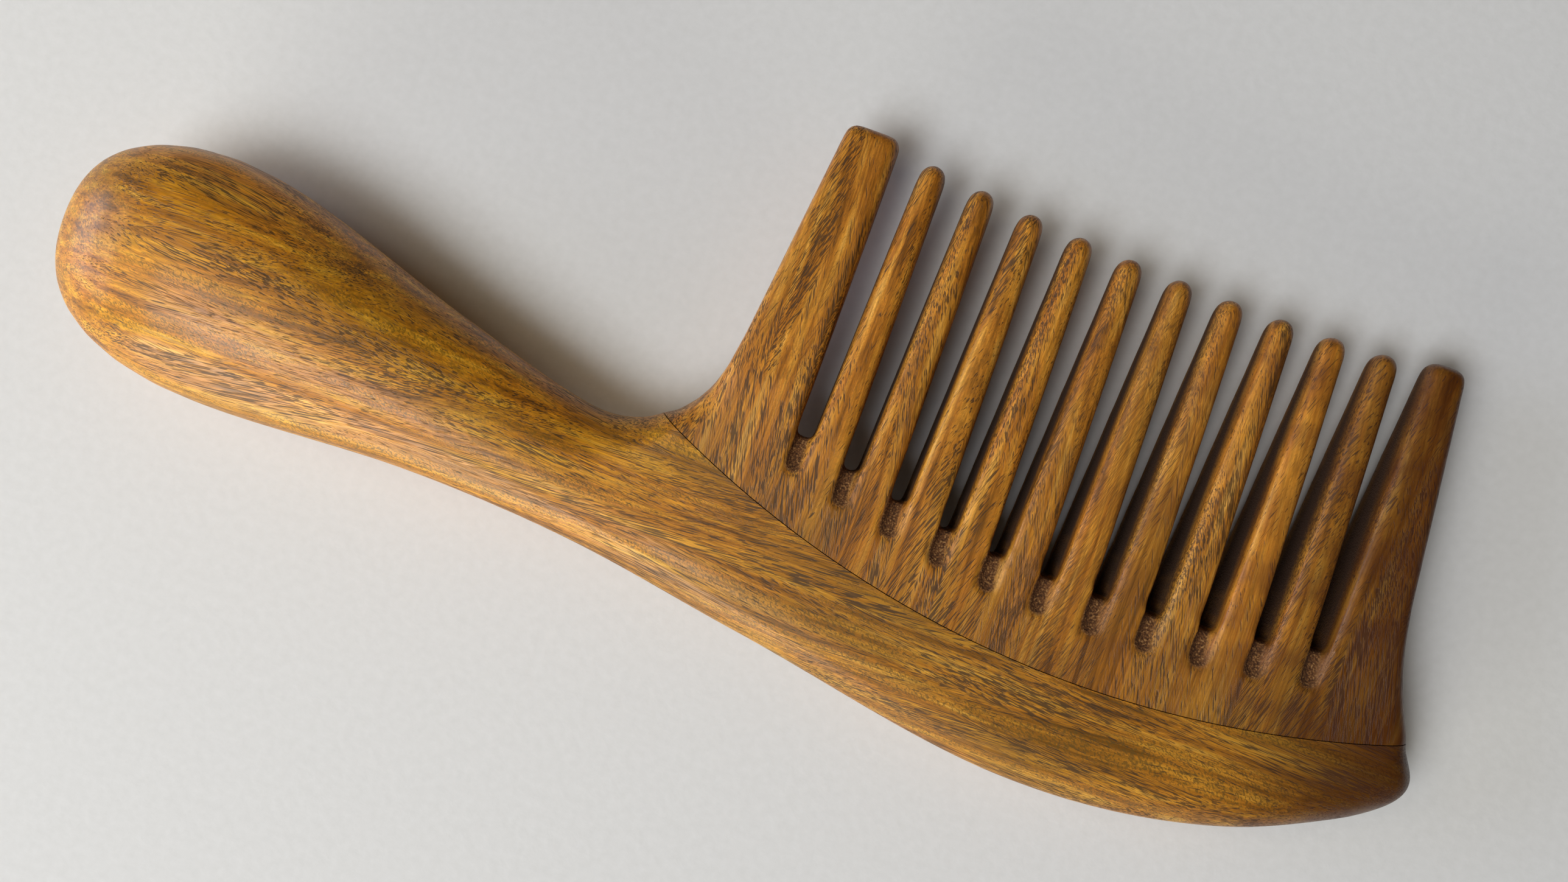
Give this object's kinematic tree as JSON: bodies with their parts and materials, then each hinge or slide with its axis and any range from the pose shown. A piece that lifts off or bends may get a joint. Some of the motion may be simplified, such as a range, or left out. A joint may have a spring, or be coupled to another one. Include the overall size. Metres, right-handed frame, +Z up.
{
  "type": "wooden wide-tooth comb",
  "caption": "Wooden wide-tooth comb: a bulb handle and curved back in one board, glued by a hidden tongue to a board of tapered parallel teeth with ramped gaps.",
  "frame": {"origin": "bottom centre of the box round the comb as it lies on a table", "axes": "+X along the tooth row, away from the handle; +Y towards the tooth tips; +Z up, through the thickness"},
  "size_m": [0.2004, 0.0782, 0.0221],
  "materials": {
    "back_wood": "satin",
    "tooth_wood": "satin",
    "wood_glue": "matte"
  },
  "bodies": {
    "root": {"handle_back": "back_wood", "tooth_plate": "tooth_wood", "glue_bed": "wood_glue"}
  },
  "joints": []
}
